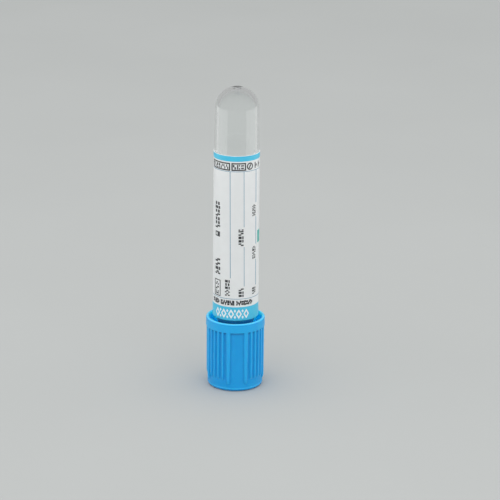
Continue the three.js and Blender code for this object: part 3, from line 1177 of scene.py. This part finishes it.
# %% Lines of marks
MARK_SEED = 12
PATTERNS = (
    ((0.0, 0.48, 0.0, 0.52), (0.52, 1.0, 0.48, 1.0)),
    ((0.52, 1.0, 0.0, 0.52), (0.0, 0.48, 0.48, 1.0)),
    ((0.0, 1.0, 0.08, 0.36), (0.0, 1.0, 0.64, 0.92)),
    ((0.0, 0.4, 0.0, 1.0), (0.62, 1.0, 0.0, 0.32), (0.62, 1.0, 0.68, 1.0)),
    ((0.0, 0.42, 0.0, 0.36), (0.0, 0.42, 0.64, 1.0), (0.58, 1.0, 0.3, 0.7)),
    ((0.05, 0.95, 0.4, 1.0), (0.0, 1.0, 0.0, 0.22)),
)
random = np.random.default_rng(MARK_SEED)


def marks(ink, left, low, length, size, count, up=False, fill=0.7, grow=0.0):
    """A line of marks from a corner, as long as its length and as high as its size.

    A mark fills a share of its pitch. Each bar is drawn larger than in its pattern by a share
    of the cell on every side. Up the label, what was low in the cell is at its right.
    """
    pitch = length / count
    for step in range(count):
        for bar in PATTERNS[random.integers(len(PATTERNS))]:
            start, end, bottom, top = np.add(bar, (-grow, grow, -grow, grow))
            start, end = (step * pitch + share * pitch * fill for share in (start, end))
            if up:
                ink.block(left + size * (1 - top), left + size * (1 - bottom), low + start, low + end)
            else:
                ink.block(left + start, left + end, low + size * bottom, low + size * top)


print("patterns", len(PATTERNS))


# %% [markdown]
# The dark print has four groups: the small framed marks and the round one under the top band,
# the bold row above the blue band, the two bold entries and the framed boxes in the left column,
# and the short field names that run up beside the ruled lines. Each group's places come from the
# row or the rule that it stands on.

# %% Marks under the top band
FRAME_LINE = 0.32
dark = Ink()

ROW = (62.9, 65.05)
ROW_MIDDLE = sum(ROW) / 2
ROW_FRAMES = ((-8.3, -1.57, 7), (-1.18, 2.85, 3))
FRAME_INSET = 0.42
FRAME_MARGINS = 0.7
FRAMED_SIZE = 1.25
for left, right, count in ROW_FRAMES:
    dark.frame(left, right, *ROW, FRAME_LINE)
    length = right - left - FRAME_MARGINS
    marks(dark, left + FRAME_INSET, ROW[0] + FRAME_INSET, length, FRAMED_SIZE, count)

ROUND_MARK = 4.1
SLASH = (-0.45, -0.05)
SLASH_HALF = 0.5
dark.strip(CIRCLE, (ROUND_MARK, ROW_MIDDLE), [1 - FRAME_LINE] * 2, [1.0] * 2)
slash = [ROUND_MARK + side for side in SLASH]
dark.block(*slash, ROW_MIDDLE - SLASH_HALF, ROW_MIDDLE + SLASH_HALF, shift=SLASH_HALF)

POSTS_AT = (5.85, 7.5)
POST_PARTS = ((0.0, 0.34, 0.85), (0.5, 0.9, 0.3))
for post in POSTS_AT:
    for left, right, half in POST_PARTS:
        dark.block(post + left, post + right, ROW_MIDDLE - half, ROW_MIDDLE + half)
print("slabs so far", len(dark.faces))

# %% The bold row and the left column
BOLD_LOW_Z = 24.85
BOLD_SIZE = 1.2
BOLD_WORDS = ((-8.0, 3.0, 4), (-4.5, 4.1, 6), (0.1, 4.9, 7))
for left, length, count in BOLD_WORDS:
    marks(dark, left, BOLD_LOW_Z, length, BOLD_SIZE, count, fill=0.82, grow=0.07)

ENTRY_LEFT = -6.75
ENTRY_SIZE = 1.9
ENTRIES = ((46.3, 7.6, 7), (33.2, 4.7, 4))
for low, length, count in ENTRIES:
    marks(dark, ENTRY_LEFT, low, length, ENTRY_SIZE, count, up=True, fill=0.72, grow=0.04)

SQUARE = (43.9, 45.3)
SQUARE_BLOCK = (0.95, 1.6, 44.15, 45.05)
dark.frame(ENTRY_LEFT, ENTRY_LEFT + ENTRY_SIZE, *SQUARE, FRAME_LINE)
left, right, low, high = SQUARE_BLOCK
dark.block(ENTRY_LEFT + left, ENTRY_LEFT + right, low, high)

LOW_BOX = (-0.3, 0.2, 26.95, 31.6)
LOW_BOX_LINE = 0.24
LOW_MARKS = (0.15, 27.5, 3.8, 1.3, 3)
left, right, low, high = LOW_BOX
dark.frame(ENTRY_LEFT + left, ENTRY_LEFT + ENTRY_SIZE + right, low, high, LOW_BOX_LINE)
left, *rest = LOW_MARKS
marks(dark, ENTRY_LEFT + left, *rest, up=True)
print("slabs so far", len(dark.faces))

# %% The field names
NAME_SIZE = 1.35
NAME_GAP = 0.2
for rule, low, length, count in FIELD_NAMES:
    left = RULES_AT[rule] - NAME_GAP - NAME_SIZE
    marks(dark, left, low, length, NAME_SIZE, count, up=True, fill=0.76, grow=0.02)
dark_print = dark.mesh("dark_print")

# %% [markdown]
# The blue band carries a plain ornament in white where such labels have a name: a row of
# diamonds, with two small ones between each and the next. A large diamond is one closed strip
# between its outline and the same outline at half its size. A small one is a solid grid that
# stands on its corner.

# %% The white ornament
ORNAMENT_MIDDLE = 22.25
ORNAMENT_SPAN = (-5.7, 2.9)
DIAMONDS = 5
LARGE_DIAMOND = np.array([0.85, 1.4])
SMALL_DIAMOND = (0.3, 0.5)
SMALL_OFFSET = 0.9
SMALL_POINTS = 4

white = Ink()
centres = np.linspace(*ORNAMENT_SPAN, DIAMONDS)
for middle in centres:
    white.strip(DIAMOND, (middle, ORNAMENT_MIDDLE), LARGE_DIAMOND / 2, LARGE_DIAMOND)
share = np.linspace(0.0, 1.0, SMALL_POINTS)
rising, falling = np.meshgrid(share, share)
for middle in (centres[:-1] + centres[1:]) / 2:
    for side in (-1, 1):
        white.add(
            middle + SMALL_DIAMOND[0] * (rising - falling),
            ORNAMENT_MIDDLE + side * SMALL_OFFSET + SMALL_DIAMOND[1] * (rising + falling - 1),
        )
white_ornament = white.mesh("white_ornament")

# %% [markdown]
# Ink is a little glossier than the film, and black ink on such a label is really a very dark
# grey that thins out in places.

# %% The inks
INK_GREY = shown(34, 36, 40)
INK_GREY_THIN = shown(58, 60, 64)
black_ink, _, _ = finish("dark_ink", (INK_GREY, INK_GREY_THIN), gloss=(0.3, 0.4), depth=0.003)
dark_print.data.materials.append(black_ink)
white_ink, _, _ = finish("white_ink", (FILM_WHITE, FILM_WHITE_WORN), gloss=(0.3, 0.4), depth=0.003)
white_ornament.data.materials.append(white_ink)
print("inks", black_ink.name, white_ink.name)

# %% [markdown]
# ## The studio
#
# A plain pale floor runs out well past the view. The light is soft and nearly even, from two
# sources: a pale sky all round, and a square lamp above that lights matt surfaces and makes the
# soft shadow. Two low walls of light stand one on either side. They show only in glossy
# surfaces, where they give the clear tube its long milky stripes, and they light nothing else.
# Sky and lamp add up to a level at which a colour renders about as it is written.

# %% The floor
FLOOR_HALF = 2500.0
FLOOR_DROP = 0.02
CARD = shown(184, 186, 185)
CARD_WORN = shown(187, 189, 188)


def build_floor():
    """A square floor, in millimetres, just under the cap's end face."""
    square = np.array([(-1, -1), (1, -1), (1, 1), (-1, 1)]) * FLOOR_HALF
    points = np.column_stack([square, np.full(len(square), -FLOOR_DROP)])
    made = mesh_object("studio_floor", points, [[0, 1, 2, 3]], smooth=False)
    material, _, shader = finish(
        "studio_card", (CARD, CARD_WORN), gloss=(0.8, 0.9), depth=0.01, drift=8.0
    )
    shader.inputs["Specular IOR Level"].default_value = 0.0
    made.data.materials.append(material)


build_floor()

# %% The sky
SKY_TINT = (0.99, 1.0, 1.0, 1.0)


def build_sky(overhead=0.55, horizon=1.3, seen=0.45):
    """A sky that lights more from the horizon than from overhead, the same all round.

    Its level goes from the horizon's to the overhead one with the square of the height. Clear
    and glossy surfaces see an even, dimmer sky instead, as a plain room would be.
    """
    world = bpy.data.worlds.new("pale_sky")
    world.use_nodes = True
    tree = world.node_tree
    direction = tree.nodes.new("ShaderNodeTexCoord")
    split = tree.nodes.new("ShaderNodeSeparateXYZ")
    tree.links.new(direction.outputs["Generated"], split.inputs["Vector"])
    height = calculation(tree, "POWER", calculation(tree, "ABSOLUTE", split.outputs["Z"]), 2.0)
    level = calculation(tree, "MULTIPLY_ADD", height, overhead - horizon)
    level.node.inputs[2].default_value = horizon
    path = tree.nodes.new("ShaderNodeLightPath")
    looking = calculation(tree, "ADD", path.outputs["Is Camera Ray"], path.outputs["Is Glossy Ray"])
    looking = calculation(tree, "ADD", looking, path.outputs["Is Transmission Ray"], clamp=True)
    lighting = calculation(tree, "SUBTRACT", 1.0, looking)
    level = calculation(tree, "MULTIPLY", lighting, level)
    level = calculation(tree, "ADD", level, calculation(tree, "MULTIPLY", looking, seen))
    sky = tree.nodes["Background"]
    sky.inputs["Color"].default_value = SKY_TINT
    tree.links.new(level, sky.inputs["Strength"])
    bpy.context.scene.world = world
    print(world.name, "lights from", overhead, "to", horizon, "and shows as", seen)


build_sky()


# %% Lamps
def turned_to(place, target):
    """The rotation that points an object's -Z from a place to a target, with its Y upwards.

    Its Z is the direction back to the place, its X is square to that and to the vertical, and
    its Y is square to both.
    """
    back = np.array(place, dtype=float) - np.array(target, dtype=float)
    back /= np.linalg.norm(back)
    side = np.cross([0.0, 0.0, 1.0], back)
    side /= np.linalg.norm(side)
    above = np.cross(back, side)
    return Matrix(np.stack([side, above, back], axis=1).tolist())


def soft_lamp(name, place, target, size, brightness, lights):
    """An area lamp in metres that faces a point. Its power is brightness by area by pi.

    It either lights matt surfaces or shows in glossy ones, and it is never seen directly.
    """
    light = bpy.data.lights.new(name, "AREA")
    light.shape = "RECTANGLE"
    light.size, light.size_y = size
    light.energy = brightness * size[0] * size[1] * np.pi
    lamp = bpy.data.objects.new(name, light)
    lamp.location = place
    lamp.rotation_euler = turned_to(place, target).to_euler()
    lamp.visible_camera = False
    lamp.visible_transmission = False
    lamp.visible_diffuse = lights
    lamp.visible_glossy = not lights
    bpy.context.scene.collection.objects.link(lamp)
    print(name, f"{light.energy:.2f} watts")


CEILING_PLACE = (0.0, -0.15, 0.7)
CEILING_TARGET = (0.0, 0.0, 0.04)
CEILING_SIZE = (0.5, 0.5)
CEILING_BRIGHTNESS = 1.7
soft_lamp("ceiling", CEILING_PLACE, CEILING_TARGET, CEILING_SIZE, CEILING_BRIGHTNESS, lights=True)

WALL_PLACE = 0.17
WALL_HEIGHT = 0.07
WALL_LENGTH = 0.266
WALL_MIDDLE = -0.017
WALL_BRIGHTNESS = 0.95
for name, side in (("left_wall", -1), ("right_wall", 1)):
    place = (side * WALL_PLACE, WALL_MIDDLE, WALL_HEIGHT / 2)
    target = (0.0, WALL_MIDDLE, WALL_HEIGHT / 2)
    soft_lamp(name, place, target, (WALL_LENGTH, WALL_HEIGHT), WALL_BRIGHTNESS, lights=False)

# %% [markdown]
# The camera looks down at the tube from a little above, through a long lens, so that upright
# lines stay nearly upright. The picture is shown as the scene's plain light values, with no film
# curve. Clear plastic needs more bounces than usual, because a ray crosses four surfaces of the
# tube on its way through.

# %% Camera
CAMERA_ELEVATION = 17.94
CAMERA_DISTANCE = 0.5797
CAMERA_ROLL = 0.59
LOOK_AT = (0.00384, 0.0, 0.03872)
LENS = 152.4
SENSOR = 36.0
NEAREST = 0.01
camera_data = bpy.data.cameras.new("studio_camera")
camera_data.lens = LENS
camera_data.sensor_width = SENSOR
camera_data.clip_start = NEAREST
camera = bpy.data.objects.new("studio_camera", camera_data)
tilt = np.radians(CAMERA_ELEVATION)
camera.location = (
    LOOK_AT[0],
    LOOK_AT[1] - CAMERA_DISTANCE * np.cos(tilt),
    LOOK_AT[2] + CAMERA_DISTANCE * np.sin(tilt),
)
roll = Matrix.Rotation(np.radians(CAMERA_ROLL), 3, "Z")
camera.rotation_euler = (turned_to(camera.location, LOOK_AT) @ roll).to_euler()
bpy.context.scene.collection.objects.link(camera)
bpy.context.scene.camera = camera
print("camera at", [round(value, 4) for value in camera.location])

# %% How the picture is made
bpy.context.scene.view_settings.view_transform = "Standard"
cycles = bpy.context.scene.cycles
cycles.use_denoising = True
cycles.max_bounces = 16
cycles.glossy_bounces = 12
cycles.transmission_bounces = 16
print("bounces", cycles.max_bounces)
